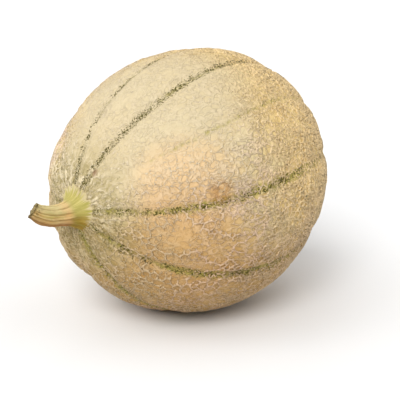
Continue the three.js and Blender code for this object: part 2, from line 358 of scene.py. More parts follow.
# %% [markdown]
# ## The net
#
# A melon's net is a web of cork ridges round small uneven cells. Three ways could make it. A bump
# pattern is quick, but leaves the outline bald. A displaced fine mesh needs millions of faces
# before its ridges look sharp. Here the mesh itself follows the net: points are strewn over a
# ball, their convex hull joins neighbours, and its dual mesh turns every point into a cell. Each
# cell is then extruded in place and shrunk to a floor, so that the faces between the floor and
# the border become the slopes of a ridge. Sixteen triangles make a cell.
#
# What makes it look grown is that nothing in it is even. The points are thinned out by place, so
# cells are small along the sutures and wide on the open side, and every corner of a cell is
# pushed aside by a random bit. Every cell draws a number, and where the numbers that meet at a
# corner are nearly alike, the ridge there is faint or missing. Each cell also takes the number of
# one of many small patches and of one of a few long ones. Their borders are strong wherever they
# run, which gives short winding ridges and a few long veins.
#
# All points are strewn on a ball that is drawn out along the melon by some amount, opened round
# the stalk, pushed about by two noises, and then carried back. That is how the cells come to lie
# in short rows across the blossom half, run out like rays from the stalk, and crowd here and
# there, and how the veins run the melon's length.
#
# Finer cells would soon make a mesh too heavy to reuse. So the mesh holds the net's main ridges,
# and the material draws the finest threads between them.

# %% Sizes of the net: the tree's named inputs, in millimetres
NET = {
    "Cell Spacing": 0.9,
    "Patch Spacing": 3.5,
    "Vein Spacing": 13.0,
    "Ridge Half Width": 0.62,
    "Ridge Height": 1.0,
    "Corner Jitter": 0.45,
    "Wander": 0.55,
    "Wrinkle Height": 2.0,
    "Least Floor": 0.42,              # no cell's floor is smaller than this share of the cell
    "Seed": 7,
}
WANDERINGS = ((9.0, 3.0), (24.0, 2.8))    # the scales of two noises, and how many times the wander
STRONG_RIDGE = 0.45                   # from this strength on, a ridge has a crease at its foot

# %% How points are strewn: on a ball of radius 1
BALL_SUBDIVISIONS = 6
CELL_DENSITY = 1110.0                 # points tried on one unit of the ball's surface
PATCH_DENSITY = 260.0
VEIN_DENSITY = 60.0
# How far the ball is drawn out: along the whole melon, and then more over the blossom half
CELL_STRETCH = (0.7, 1.6)
VEIN_STRETCH = (0.4, 0.1)
# The two noises that push the drawn-out ball about: the scale, detail and reach of each
UNREST = ((3.0, 1.0, 0.3), (9.0, 0.0, 0.07))
# By the stalk the ball is opened out like a trumpet, more and more within this distance from the
# axis. Carried back, its cells are narrow and point away from the stalk
OPENED_RING = 0.8
OPENED_POWER = -0.6
INNERMOST_RING = 0.12
print("points tried for cells:", round(4 * math.pi * CELL_DENSITY))


# %% Where the net changes: places that the relief and the colours share
SMOOTH_SIDE = (-0.6, -0.28, 0.72)     # high on the front, where the net hardly rises
OPEN_SIDE = (-0.64, -0.74, -0.22)     # low on the front, where the cells are widest
BLOSSOM_SIDE = (-0.1, 0.5)            # over these x of the ball the net becomes finer and denser
UNDERNEATH = (-0.4, -0.6)             # and over these z, on its way down, lower


def smooth_side(nodes, ball):
    """1 in the middle of the smooth part, and 0 well away from it."""
    return nodes.near(ball, SMOOTH_SIDE, 22, 58)


def open_side(nodes, ball):
    """1 in the middle of the low rib by the stalk, 0 below it and on the rest of the fruit."""
    z = nodes.split(ball)[2]
    return nodes.near(ball, OPEN_SIDE, 12, 38) * nodes.ramp(z, -0.52, -0.36)


def from_axis(nodes, y, z):
    return nodes.math("SQRT", nodes.at_least(y * y + z * z, 0.001))


# %% Points strewn on a ball
def drawn_out(nodes, direction, stretch):
    """Where a direction lies once the ball is drawn out and opened round the stalk."""
    x, y, z = nodes.split(direction)
    blossom_half = nodes.at_least(x, 0.0) ** 1.5
    ring = nodes.at_least(nodes.length(nodes.join(y, z, 0.0)), INNERMOST_RING)
    opened = (ring / OPENED_RING) ** OPENED_POWER
    opened = 1.0 + (opened - 1.0) * nodes.ramp(x, -0.55, -0.82)
    return nodes.join(x * stretch[0] + blossom_half * stretch[1], y * opened, z * opened)


def strewn(nodes, spacing, density, seed, stretch, share):
    """Points on the drawn-out ball, no nearer than the spacing. Share thins them out by place."""
    round_ball = {"Radius": 1.0, "Subdivisions": BALL_SUBDIVISIONS}
    ball = nodes.field("GeometryNodeMeshIcoSphere", round_ball, "Mesh")
    ball = stored(nodes, ball, "home", here(nodes), data_type="FLOAT_VECTOR")
    ball = stored(nodes, ball, "share", share)
    broad, small = [nodes.drift(here(nodes), *unrest) for unrest in UNREST]
    pushed = nodes.added(drawn_out(nodes, here(nodes), stretch), nodes.added(broad, small))
    strewing = {
        "Mesh": moved(nodes, ball, pushed),
        "Distance Min": spacing / RADIUS,
        "Density Max": density,
        "Density Factor": named(nodes, "share"),
        "Seed": seed,
    }
    return nodes.field("GeometryNodeDistributePointsOnFaces", strewing, distribute_method="POISSON")


# %% The tree: uneven cells on the ball
def cell_share(nodes):
    """The share of points kept at a place: 1 in a suture, elsewhere about a half."""
    place = Place(nodes, here(nodes))
    by_stalk = nodes.ramp(place.x, -0.72, -0.85)
    fine = nodes.ramp(place.rib()["band"], -2.0, 0.5) * (1.0 - by_stalk)
    patches = nodes.ramp(nodes.noise(here(nodes), 2.6, 2.0), 0.35, 0.65, 0.38, 0.6)
    patches = patches + nodes.ramp(place.x, *BLOSSOM_SIDE) * 0.25
    patches = patches + nodes.ramp(place.z, *UNDERNEATH) * 0.12
    patches = patches * (1.0 - nodes.near(here(nodes), SMOOTH_SIDE, 20, 45) * 0.35)
    share = patches + (1.0 - patches) * fine
    return share + (0.6 - share) * by_stalk


def strewn_cells(nodes, sizes):
    """A ball of cells, one face each, whose corners are pushed aside at random."""
    share = cell_share(nodes)
    points = strewn(nodes, sizes["Cell Spacing"], CELL_DENSITY, sizes["Seed"], CELL_STRETCH, share)
    points = moved(nodes, points, nodes.normalized(named(nodes, "home", "FLOAT_VECTOR")))
    vertices = nodes.field("GeometryNodePointsToVertices", {"Points": points})
    hull = nodes.field("GeometryNodeConvexHull", {"Geometry": vertices})
    cells = nodes.field("GeometryNodeDualMesh", {"Mesh": hull})
    aside = {"Min": (-1.0, -1.0, -1.0), "Max": (1.0, 1.0, 1.0), "Seed": 5}
    aside = nodes.field("FunctionNodeRandomValue", aside, data_type="FLOAT_VECTOR")
    aside = nodes.added(here(nodes), nodes.scaled(aside, sizes["Corner Jitter"] / RADIUS))
    return moved(nodes, cells, nodes.normalized(aside))


# %% The tree: a number for every cell, and how much the numbers differ at a corner
def numbered(nodes, mesh, name, number):
    """Stores a number and its square on every face. Between them they tell how numbers spread."""
    mesh = stored(nodes, mesh, name, number, domain="FACE")
    number = named(nodes, name)
    return stored(nodes, mesh, name + " squared", number * number, domain="FACE")


def spread(nodes, name):
    mean = named(nodes, name)
    return nodes.math("SQRT", nodes.at_least(named(nodes, name + " squared") - mean * mean, 0.0))


def nearest_patch(nodes, points, stretch, scale, ragged):
    """The random number of the strewn point that is nearest to a place on the ball."""
    direction = nodes.normalized(here(nodes))
    direction = nodes.added(direction, nodes.drift(direction, scale, 2.0, ragged))
    sampling = {"Geometry": points, "Sample Position": drawn_out(nodes, direction, stretch)}
    nearest = nodes.field("GeometryNodeSampleNearest", sampling, domain="POINT")
    return nodes.field("FunctionNodeRandomValue", {"ID": nearest, "Seed": 3})


# %% The tree: from cells to ridges
def ridge_strength(nodes):
    """At a corner: how strong the ridges are that meet there."""
    x, _, z = nodes.split(here(nodes))
    dense = nodes.ramp(nodes.noise(here(nodes), 11.0, 1.0), 0.4, 0.6, 0.1, 0.65)
    dense = dense * (1.0 - open_side(nodes, here(nodes)) * 0.7)
    dense = dense + nodes.ramp(x, *BLOSSOM_SIDE) * 0.4 + nodes.ramp(x, -0.75, -0.88) * 0.15
    strength = nodes.ramp(spread(nodes, "tone"), 0.05, 0.25) * dense
    strength = nodes.at_least(strength, nodes.ramp(spread(nodes, "patch"), 0.03, 0.2))
    strength = nodes.at_least(strength, nodes.ramp(spread(nodes, "vein"), 0.02, 0.12) * 1.1)
    return strength * nodes.ramp(z, *UNDERNEATH, 1.0, 0.65)


def ridged(nodes, mesh, sizes):
    """Gives every cell a floor. The attribute crest is 1 on a strong border and 0 at a floor."""
    strength = ridge_strength(nodes)
    mesh = stored(nodes, mesh, "strength", strength)
    mesh = stored(nodes, mesh, "crest", strength)
    extruding = {"Mesh": mesh, "Offset Scale": 0.0, "Individual": True}
    node = nodes.node("GeometryNodeExtrudeMesh", extruding)
    mesh, floor_faces = Field(nodes, node.outputs["Mesh"]), Field(nodes, node.outputs["Top"])
    mesh = stored(nodes, mesh, "crest", 0.0, floor_faces)
    area = nodes.field("GeometryNodeInputMeshFaceArea")
    cell_radius = nodes.math("SQRT", area / math.pi) * RADIUS
    shrunk = nodes.at_least(1.0 - sizes["Ridge Half Width"] / cell_radius, sizes["Least Floor"])
    shrinking = {"Geometry": mesh, "Selection": floor_faces, "Scale": shrunk}
    return nodes.field("GeometryNodeScaleElements", shrinking)


# %% [markdown]
# ### Wrinkles by the stalk
#
# Round the stalk the skin is drawn together into low wrinkles that run outwards. They are both
# seen and felt, so the relief and the colours have to agree on where they lie. A painted image
# could hold them, and so could one formula that both trees call, which is what is done here: noise
# on the turn about the axis, bent by a second noise so that no wrinkle runs straight.

# %% Wrinkles that run out from the stalk: one formula for the relief and for the colours
WRINKLES_ROUND = 12.0                 # the noise's size on a circle about the stalk
WRINKLES_ALONG = 11.0                 # and along a wrinkle
WRINKLE_BENDS = (16.0, 2.0, 2.6)      # the scale, detail and reach of the noise that bends them


def wrinkled(nodes, ball):
    """The wrinkles' own value, 0.5 on average, and their share of the place: 1 by the stalk."""
    x, y, z = nodes.split(ball)
    ring = from_axis(nodes, y, z)
    around = nodes.join(y / ring * WRINKLES_ROUND, z / ring * WRINKLES_ROUND, ring * WRINKLES_ALONG)
    around = nodes.added(around, nodes.drift(ball, *WRINKLE_BENDS))
    return nodes.noise(around, 1.0, 2.0), nodes.ramp(x, -0.88, -0.96)


# %% The tree: how high the net stands, by place
def ridge_share(nodes, ball, form):
    """Strong and faint by turns, low on the smooth side, in the sutures and under the fruit."""
    patchy = nodes.ramp(nodes.noise(ball, 5.0, 2.0), 0.35, 0.62, 0.7, 1.15)
    smooth = smooth_side(nodes, ball)
    groove = nodes.ramp(named(nodes, "suture"), 0.5, 4.0, 0.6, 1.0)
    form_x, form_y, form_z = nodes.split(form)
    from_spot = nodes.length(nodes.join(form_x, form_y, 0.0))
    lower_half = nodes.math("LESS_THAN", form_z, middle_height)
    calm = 1.0 - (1.0 - nodes.ramp(from_spot, SPOT_CALM, SPOT_RIM)) * lower_half
    x, _, z = nodes.split(ball)
    blossom_half = nodes.ramp(x, 0.0, 0.5, 1.0, 1.25) * nodes.ramp(z, 0.2, 0.7, 1.0, 0.7)
    by_stalk = wrinkled(nodes, ball)[1]
    return patchy * (1.0 - smooth * 0.85) * groove * calm * blossom_half * (1.0 - by_stalk * 0.5)


# %% The tree: ridges that wander, on the melon's own form
def numbered_cells(nodes, sizes):
    """Cells with a number of their own, one of a small patch and one of a long patch."""
    mesh = strewn_cells(nodes, sizes)
    mesh = numbered(nodes, mesh, "tone", nodes.field("FunctionNodeRandomValue", {"Seed": 11}))
    seed, thinned = sizes["Seed"], 1.0 - open_side(nodes, here(nodes)) * 0.6
    patches = strewn(nodes, sizes["Patch Spacing"], PATCH_DENSITY, seed + 4.0, CELL_STRETCH, thinned)
    veins = strewn(nodes, sizes["Vein Spacing"], VEIN_DENSITY, seed + 2.0, VEIN_STRETCH, 1.0)
    mesh = numbered(nodes, mesh, "patch", nearest_patch(nodes, patches, CELL_STRETCH, 25.0, 0.05))
    return numbered(nodes, mesh, "vein", nearest_patch(nodes, veins, VEIN_STRETCH, 8.0, 0.1))


def netted_rind():
    nodes, sizes = new_tree("netted rind", NET)
    mesh = ridged(nodes, numbered_cells(nodes, sizes), sizes)

    # Ridges wander along the ball
    direction = nodes.normalized(here(nodes))
    wander = sizes["Wander"] / RADIUS
    for scale, times in WANDERINGS:
        direction = nodes.added(direction, nodes.drift(direction, scale, 1.0, wander * times))
    mesh = moved(nodes, mesh, nodes.normalized(direction))

    # What the place on the fruit says is kept, for the height and for the material
    place = Place(nodes, here(nodes))
    rib = place.rib()
    for name in ("suture", "band", "flecked"):
        mesh = stored(nodes, mesh, name, rib[name])
    mesh = stored(nodes, mesh, "relief", place.relief(rib["valley"]))
    mesh = stored(nodes, mesh, "ball", here(nodes), data_type="FLOAT_VECTOR")

    # The ball becomes the melon, and its ridges and wrinkles rise
    ball = named(nodes, "ball", "FLOAT_VECTOR")
    form = place.form()
    mesh = stored(nodes, mesh, "crest", named(nodes, "crest") * ridge_share(nodes, ball, form))
    wrinkle, by_stalk = wrinkled(nodes, ball)
    ridge = named(nodes, "crest") * sizes["Ridge Height"]
    ridge = ridge + (wrinkle - 0.5) * by_stalk * sizes["Wrinkle Height"]
    lift = nodes.scaled(place.outward(), named(nodes, "relief") + ridge)
    mesh = moved(nodes, mesh, nodes.added(form, lift))

    # The table presses the fruit flat
    x, y, z = nodes.split(here(nodes))
    mesh = moved(nodes, mesh, nodes.join(x, y, nodes.at_least(z, 0.0)))

    # A strong ridge stands on the skin with a crease at its foot
    at_foot = nodes.math("LESS_THAN", named(nodes, "crest"), 0.01)
    creased = nodes.math("GREATER_THAN", named(nodes, "strength"), STRONG_RIDGE) * at_foot
    return finished_tree(nodes, mesh, sizes["Material"], creased)


# %% [markdown]
# ## Colours
#
# Colours are easiest to choose as they look on a screen, but nodes work in linear light, so a
# helper converts them. A finish is then built up as a painter would: a ground, and over it one
# layer after another, each with a share that says where it shows. A stack of mix nodes does that,
# and a short function makes the stack from a list.


# %% Colour helpers
def colour(red, green, blue):
    """A screen colour, 0 to 255, as linear RGBA."""
    def linear(value):
        value /= 255
        return value / 12.92 if value <= 0.04045 else ((value + 0.055) / 1.055) ** 2.4
    return (linear(red), linear(green), linear(blue), 1.0)


def paints(**screen_colours):
    return {name: colour(*screen) for name, screen in screen_colours.items()}


def mixed(nodes, share, first, second):
    inputs = {"Factor": share, "A": first, "B": second}
    return nodes.field("ShaderNodeMix", inputs, data_type="RGBA")


def layered(nodes, surface, *layers):
    """Lays colours over a surface, one after another, each given with its share."""
    for share, paint in layers:
        surface = mixed(nodes, share, surface, paint)
    return surface


def attribute(nodes, name, output="Fac"):
    return nodes.field("ShaderNodeAttribute", output=output, attribute_name=name)


# %% The start and the end of every grown material
DULL = 0.3                            # neither rind nor dry stalk has a shine


def new_material(name):
    material = bpy.data.materials.new(name)
    material.use_nodes = True
    material.node_tree.nodes.clear()
    return material, Nodes(material.node_tree)


def finish_material(nodes, surface, roughness, height, strength, distance):
    """A dull finish with a fine relief: its height, how strongly it shows, and its metres."""
    bumping = {"Strength": strength, "Distance": distance, "Height": height}
    bump = nodes.field("ShaderNodeBump", bumping)
    shader = nodes.field("ShaderNodeBsdfPrincipled", {
        "Base Color": surface, "Roughness": roughness, "Specular IOR Level": DULL, "Normal": bump})
    nodes.node("ShaderNodeOutputMaterial", {"Surface": shader})


# %% [markdown]
# ## The rind's finish
#
# The rind is three things at once. Its skin is straw coloured, warmer and darker low down, where
# the darkness is painted shade, warmer too on the side that saw the sun, and olive green in the
# open sutures. Towards the blossom end skin and cork are lighter and more golden: the gold is their
# own, the lightness is painted light. Low beside the stalk the cork is darker, which is painted
# shade. On the skin lie cork ridges, paler than the skin, with painted shade at their foot. Between
# them runs a second net of threads, as fine as hairs, with a line of painted shade beside each. The
# mesh carries the ridges, and its tree left notes for the material: how near a crest a point is,
# how deep inside a suture's band, and which patch it belongs to. An image could hold all this, but
# it would be blurred or huge, and it would have a seam. Noise and cell textures on the ball's own
# directions have no seam, and they stay sharp at any distance.

# %% Where the rind changes colour, as directions from the middle of the ball
WARM_SIDE = (-0.61, -0.75, 0.22)
RUBBED_SPOT = (-0.42, -0.88, 0.23)
OLD_SCAR = (-0.94, -0.146, 0.31)
SHADE_LOST = 0.8                      # the smooth side loses this much of its creases and feet

# %% The rind's paints
SKIN = paints(
    # The low paint is darker and more golden: the gold is the rind's own, the darkness is painted shade.
    pale=(224, 204, 156), straw=(226, 194, 126), golden=(208, 172, 96), low=(180, 140, 74),
    # The blossom paint is lighter and more golden than the rest: the gold is the rind's own, the lightness
    # is painted light.
    smooth=(210, 194, 158), warm=(234, 192, 142), open=(194, 150, 92), blossom=(249, 217, 143),
    above_stalk=(194, 176, 134), below_stalk=(168, 144, 92))
CORK = paints(
    # The low cork paint is darker: painted shade low down.
    rosy=(236, 208, 180), straw=(228, 206, 166), smooth=(224, 206, 175), low=(196, 160, 122),
    # The first cork paint here is lighter and more golden: partly the cork's own colour, partly painted
    # light on the blossom half.
    creamy=(248, 217, 161), stalk_end=(232, 218, 184), open=(230, 192, 156),
    # Painted shade: darker cork low down beside the stalk.
    beside_stalk=(204, 180, 136))
# Painted shade: the dark foot of every ridge and the crease beside every thread, darker by the stalk.
SHADE = paints(foot=(168, 128, 74), foot_by_stalk=(112, 100, 50))
WRINKLE = paints(crest=(236, 220, 184), low_crest=(210, 190, 146), hollow=(142, 128, 72))
MARK = paints(green=(164, 152, 66), fleck=(82, 74, 12), rubbed=(184, 134, 72), scar=(150, 112, 88))
print("paints for the rind:", sum(len(tin) for tin in (SKIN, CORK, SHADE, WRINKLE, MARK)))


# %% What the rind's paints go by
class RindPlace:
    """What the material knows of a place: the mesh's notes, and shares of 0 to 1 by region."""

    def __init__(self, nodes):
        self.nodes = nodes
        self.ball = attribute(nodes, "ball", "Vector")
        self.crest, self.band, self.flecked, self.patch = [
            attribute(nodes, name) for name in ("crest", "band", "flecked", "patch")]
        self.x, self.y, self.z = nodes.split(self.ball)
        self.smooth = smooth_side(nodes, self.ball)
        self.stalk_end = nodes.ramp(self.x, -0.78, -0.94)
        self.below_stalk = nodes.ramp(self.z, 0.1, -0.12)
        # Lower down, skin and cork are painted darker and more golden: the gold is their own, the darkness
        # is painted shade.
        self.low_side = nodes.ramp(self.z, 0.15, -0.52)
        self.blossom_side = nodes.ramp(self.x, *BLOSSOM_SIDE)
        self.wrinkle, self.by_stalk = wrinkled(nodes, self.ball)

    def noise(self, scale, detail=2.0):
        return self.nodes.noise(self.ball, scale, detail)

    def near(self, spot, inner, outer):
        return self.nodes.near(self.ball, spot, inner, outer)


# %% Skin between the ridges
def rind_skin(nodes, at):
    slow = at.noise(2.2, 3.0)
    golden = nodes.ramp(at.patch, 0.45, 1.0)
    golden = golden * nodes.ramp(at.x, 0.4, -0.1, 0.2, 0.6) * nodes.ramp(at.z, 0.5, 0.0, 0.2, 1.0)
    # Lighter and more golden towards the blossom end, most on top: the gold is the rind's own, the
    # lightness is painted light.
    blossom = at.blossom_side * nodes.ramp(at.z, -0.5, 0.15, 0.25, 0.85)
    by_stalk = mixed(nodes, at.below_stalk, SKIN["above_stalk"], SKIN["below_stalk"])
    return layered(
        nodes, mixed(nodes, nodes.ramp(slow, 0.35, 0.65), SKIN["pale"], SKIN["straw"]),
        (golden, SKIN["golden"]),
        (at.low_side * 0.85, SKIN["low"]),
        (at.smooth * 0.85, SKIN["smooth"]),
        (at.near(WARM_SIDE, 6, 30) * 0.6, SKIN["warm"]),
        (at.near(OPEN_SIDE, 10, 36) * 0.6, SKIN["open"]),
        (blossom, SKIN["blossom"]),
        (at.stalk_end, by_stalk))


# %% The second net, too fine for the mesh: thin threads of cork on the skin
THREAD_SCALE = 22.0                   # threads to one radius of the ball


def second_net(nodes, at):
    """How far a place is from a thread's middle, and the shares of thread and of painted shade."""
    slow_x = nodes.ramp(at.z, *UNDERNEATH, 0.7, 0.42)
    crosswise = nodes.at_least(at.x + 0.1, 0.0) ** 1.5 * 1.7
    stretched = nodes.join(at.x * slow_x + crosswise, at.y, at.z)
    ring = from_axis(nodes, at.y, at.z)
    radial = nodes.join(at.x * 0.7 + ring * 0.5, at.y / ring * 0.5, at.z / ring * 0.5)
    stretched = mixed(nodes, at.stalk_end, stretched, radial)
    bent = nodes.ramp(at.x, -0.1, 0.4, 0.09, 0.035) * (1.0 - at.stalk_end * 0.7)
    stretched = nodes.added(stretched, nodes.drift(at.ball, 22.0, 3.0, bent))
    cells = {"Vector": stretched, "Scale": THREAD_SCALE}
    crack = nodes.field("ShaderNodeTexVoronoi", cells, "Distance", feature="DISTANCE_TO_EDGE")

    thread = nodes.ramp(crack, 0.2, 0.02) * nodes.ramp(at.noise(7.0), 0.3, 0.5, 0.3, 1.0)
    thread = thread * (1.0 - at.smooth * 0.6) * (1.0 - at.near(OPEN_SIDE, 14, 35) * 0.5)
    thread = thread * (1.0 - at.stalk_end * 0.6) * (1.0 - at.by_stalk * 0.5)
    # Painted shade: a dark line beside each thread, where it meets the skin.
    crease = nodes.ramp(crack, 0.12, 0.22) * nodes.ramp(crack, 0.34, 0.22)
    crease = crease * (1.0 - at.smooth * SHADE_LOST) * 0.3 * (1.0 - at.by_stalk * 0.4)
    return crack, thread, crease


# %% Cork
def rind_cork(nodes, at):
    # Lighter and more golden towards the blossom end: partly the cork's own colour, partly painted light.
    creamy = nodes.ramp(at.x, -0.3, 0.2) * nodes.ramp(at.z, -0.5, 0.15, 0.3, 0.9)
    # Painted shade: the cork is darker low down on the stalk side.
    beside_stalk = nodes.ramp(at.x, -0.5, -0.72) * nodes.ramp(at.z, 0.25, 0.0)
    return layered(
        nodes, mixed(nodes, nodes.ramp(at.noise(5.0), 0.4, 0.6), CORK["rosy"], CORK["straw"]),
        (at.smooth, CORK["smooth"]),
        (at.low_side * 0.6, CORK["low"]),
        (creamy, CORK["creamy"]),
        (at.stalk_end * (0.7 - at.below_stalk * 0.5), CORK["stalk_end"]),
        (at.near(OPEN_SIDE, 10, 40) * 0.6, CORK["open"]),
        (beside_stalk * 0.65, CORK["beside_stalk"]))


# %% Ridges of pale cork with painted shade at their foot, and threads and wrinkles
def corked(nodes, at, thread, crease):
    """The skin with all its cork, and the shares of ridges and of the wrinkles' crests."""
    cork = rind_cork(nodes, at)
    # Painted shade, darker by the stalk, at the foot of every ridge and in the creases beside the threads.
    shaded = mixed(nodes, at.stalk_end, SHADE["foot"], SHADE["foot_by_stalk"])
    foot = nodes.ramp(at.crest, 0.02, 0.12) * nodes.ramp(at.crest, 0.5, 0.2)
    foot = foot * (1.0 - at.smooth * SHADE_LOST) * (1.0 - at.blossom_side * 0.7)
    foot = foot * (1.0 - at.by_stalk * 0.4)
    rough = (at.noise(55.0) - 0.5) * nodes.ramp(at.crest, 0.0, 0.1)
    ridge = nodes.ramp(at.crest + rough * (2.6 - at.blossom_side * 0.9), 0.12, 0.45)
    crests = nodes.ramp(at.wrinkle, 0.5, 0.6) * at.by_stalk
    hollows = nodes.ramp(at.wrinkle, 0.47, 0.38) * at.by_stalk
    pale = mixed(nodes, at.below_stalk, WRINKLE["crest"], WRINKLE["low_crest"])
    surface = layered(
        nodes, rind_skin(nodes, at),
        (crease * (1.0 + at.stalk_end * 0.6), shaded),
        (foot * (0.5 + at.stalk_end * 0.3), shaded),
        (thread * 0.8, cork),
        (ridge * (1.0 - at.by_stalk * 0.4), cork),
        (crests * 0.7, pale),
        (hollows * 0.6, WRINKLE["hollow"]))
    return surface, ridge, crests


# %% Sutures: olive green, flecked with dark, that shows between the ridges
FLECKS_ALONG = 60.0                   # flecks are a little longer than wide
FLECKS_ACROSS = 95.0


def sutured(nodes, at, surface, ridge, crack):
    ragged = at.noise(24.0, 3.0)
    fading = nodes.ramp(at.noise(4.0), 0.35, 0.6, 0.6, 1.0) * nodes.ramp(at.x, 0.7, 0.2, 0.5, 1.0)
    narrow = nodes.ramp(at.x, -0.5, -0.85) * 1.6
    green = nodes.ramp(at.band - narrow + ragged * 5.0, 1.6, 4.6) * fading
    green = green * nodes.ramp(at.noise(34.0), 0.36, 0.56, 0.35, 1.0)
    grid = nodes.join(at.x * FLECKS_ALONG, at.y * FLECKS_ACROSS, at.z * FLECKS_ACROSS)
    specks = nodes.noise(grid, 1.0, 2.0)
    within = nodes.ramp(at.flecked + ragged * 4.0, 1.4, 3.6)
    dark = nodes.ramp(specks + within * (0.13 + at.smooth * 0.02), 0.6, 0.64)
    dark = dark * nodes.ramp(within, 0.0, 0.15)
    dark = dark * nodes.ramp(at.noise(9.0), 0.36, 0.5, 0.35, 1.0)
    dark = dark * nodes.ramp(ridge, 0.9, 0.3, 0.25, 1.0) * nodes.ramp(crack, 0.05, 0.14, 0.5, 1.0)
    overgrown = nodes.ramp(at.x - at.z * 0.6, 0.5, 0.0, 0.35, 1.0)
    return layered(
        nodes, surface,
        (green * nodes.ramp(ridge, 0.9, 0.2) * 0.9, MARK["green"]),
        (dark * overgrown, MARK["fleck"]))


# %% The rind's material, with its two marks: a rubbed brown patch and a small old scar
RIND_ROUGHNESS = 0.62
RIND_RELIEF = 0.0009


def rind_material():
    material, nodes = new_material("melon rind")
    at = RindPlace(nodes)
    crack, thread, crease = second_net(nodes, at)
    surface, ridge, crests = corked(nodes, at, thread, crease)
    surface = sutured(nodes, at, surface, ridge, crack)
    rubbed = at.near(RUBBED_SPOT, 0.3, 6.5) * nodes.ramp(at.noise(30.0, 3.0), 0.32, 0.52)
    surface = layered(
        nodes, surface,
        (rubbed * 0.7, MARK["rubbed"]),
        (at.near(OLD_SCAR, 0.2, 2.4) * 0.6, MARK["scar"]))
    grain = at.noise(190.0, 3.0)
    standing = 0.3 + at.near(OPEN_SIDE, 14, 45) * 0.4
    height = thread * (1.0 - at.blossom_side * 0.3) + ridge * standing
    height = height + grain * 0.25 + crests * 0.5
    finish_material(nodes, surface, RIND_ROUGHNESS, height, 1.0, RIND_RELIEF)
    print("the rind's finish has", len(nodes.tree.nodes), "nodes")
    return material


# %% [markdown]
# ## Growing a piece
#
# A geometry tree only says how a piece would be made. Blender makes it when a modifier that uses
# the tree is evaluated. Here an empty mesh carries the modifier, the sizes are set on it, and the
# outcome is kept as a plain mesh, so the finished piece has no modifier left that could change.

# %% Grow the fruit
def grown(name, tree, values):
    """Evaluates a node tree on an empty mesh and keeps the result as a plain mesh."""
    seed_object = bpy.data.objects.new(name + " seed", bpy.data.meshes.new(name + " seed"))
    bpy.context.scene.collection.objects.link(seed_object)
    modifier = seed_object.modifiers.new("grow", "NODES")
    modifier.node_group = tree
    for item in tree.interface.items_tree:
        if item.in_out == "INPUT" and item.name in values:
            modifier[item.identifier] = values[item.name]
    evaluated = seed_object.evaluated_get(bpy.context.evaluated_depsgraph_get())
    mesh = bpy.data.meshes.new_from_object(evaluated)
    bpy.data.objects.remove(seed_object)
    piece = bpy.data.objects.new(name, mesh)
    bpy.context.scene.collection.objects.link(piece)
    triangles = sum(len(p.vertices) - 2 for p in mesh.polygons)
    print(name, "has", len(mesh.polygons), "faces,", triangles, "triangles")
    return piece


fruit = grown("netted_fruit", netted_rind(), {**NET, "Material": rind_material()})
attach(fruit, "root")
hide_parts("fruit")

# %% [markdown]
# ## The stalk
#
# The stalk is what is left of the vine: a woody, ridged stub that was cut through and has dried.
# It spreads into a soft cushion where it meets the fruit, because both grew as one. It could be
# drawn as a curve with a bevel, but a bevel has one section all along. Here a plain cylinder is
# taken instead, and each of its points is sent to its place on a bent path, at a radius that a
# formula gives: wide at the root, narrow behind it, a small lip at the cut, ridges all round.
# Noise adds fibres along it, rays on the cushion and tongues at the cushion's rim.

# %% Sizes of the stalk: the tree's named inputs, in millimetres
STEM_POLE = Vector((-HALF_LENGTH, BEND_BACK - LEAN_BACK, middle_height - LEAN_UP)) + Vector(STEM_POLE_SHIFT)
ROOT_SUNK = 2.3                       # how far the root's middle lies inside the fruit
STALK = {
    "Root": STEM_POLE + Vector((ROOT_SUNK, 0.0, 0.0)),
    "Root Pull": STEM_POLE + Vector((-12.0, 0.0, -1.2)),
    "Tip Pull": STEM_POLE + Vector((-20.0, 0.2, 0.2)),
    "Tip": STEM_POLE + Vector((-27.2, 0.2, 5.0)),
    "Root Radius": 12.8,
    "Root Thickness": 1.1,            # the cushion's edge, before it narrows
    "Neck Radius": 6.0,
    "Tip Radius": 4.6,
    "Flare": 2.9,
    "Lip": 0.5,
    "Ridge Depth": 0.6,
    "Shallower At Root": 0.4,
    "Ridge Wobble": 2.2,
    "Fibres": 1.3,
    "Lumps": 1.6,
    "Root Rays": 3.5,
    "Root Tongues": 9.0,
    "Thinner Below": 0.36,            # the share of the radius that is missing under the tip
    "Thinner Along": 4.5,
    "Cut Dish": 1.3,
    "Cut Raggedness": 2.0,
    "Cut Slant": 3.6,
}
CUT_FACES = (-0.85, 0.15)             # the slanted cut faces mostly this way, across and down
STALK_RIDGES = 10
RINGS_CROWD = 1.4                     # more rings of points lie near the root
STALK_CYLINDER = {
    "Vertices": 160, "Side Segments": 130, "Fill Segments": 10, "Radius": 1.0, "Depth": 1.0}
print("stalk from root to tip, mm:", round((STALK["Tip"] - STALK["Root"]).length, 1))


# %% The stalk's tree: a cylinder whose points know their way along, inward and round
def stalk_cylinder(nodes):
    """The cylinder, how far along it a point is, how far out in a cap, and its turn."""
    mesh = nodes.field("GeometryNodeMeshCylinder", STALK_CYLINDER, "Mesh", fill_type="TRIANGLE_FAN")
    x, y, z = nodes.split(here(nodes))
    along = nodes.math("MINIMUM", nodes.at_least(z + 0.5, 0.0), 1.0) ** RINGS_CROWD
    inward = nodes.math("MINIMUM", nodes.length(nodes.join(x, y, 0.0)), 1.0)
    turn = nodes.math("ARCTAN2", y, x)
    for name, value in (("along", along), ("inward", inward), ("turn", turn)):
        mesh = stored(nodes, mesh, name, value)
    return mesh, named(nodes, "along"), named(nodes, "inward"), named(nodes, "turn")


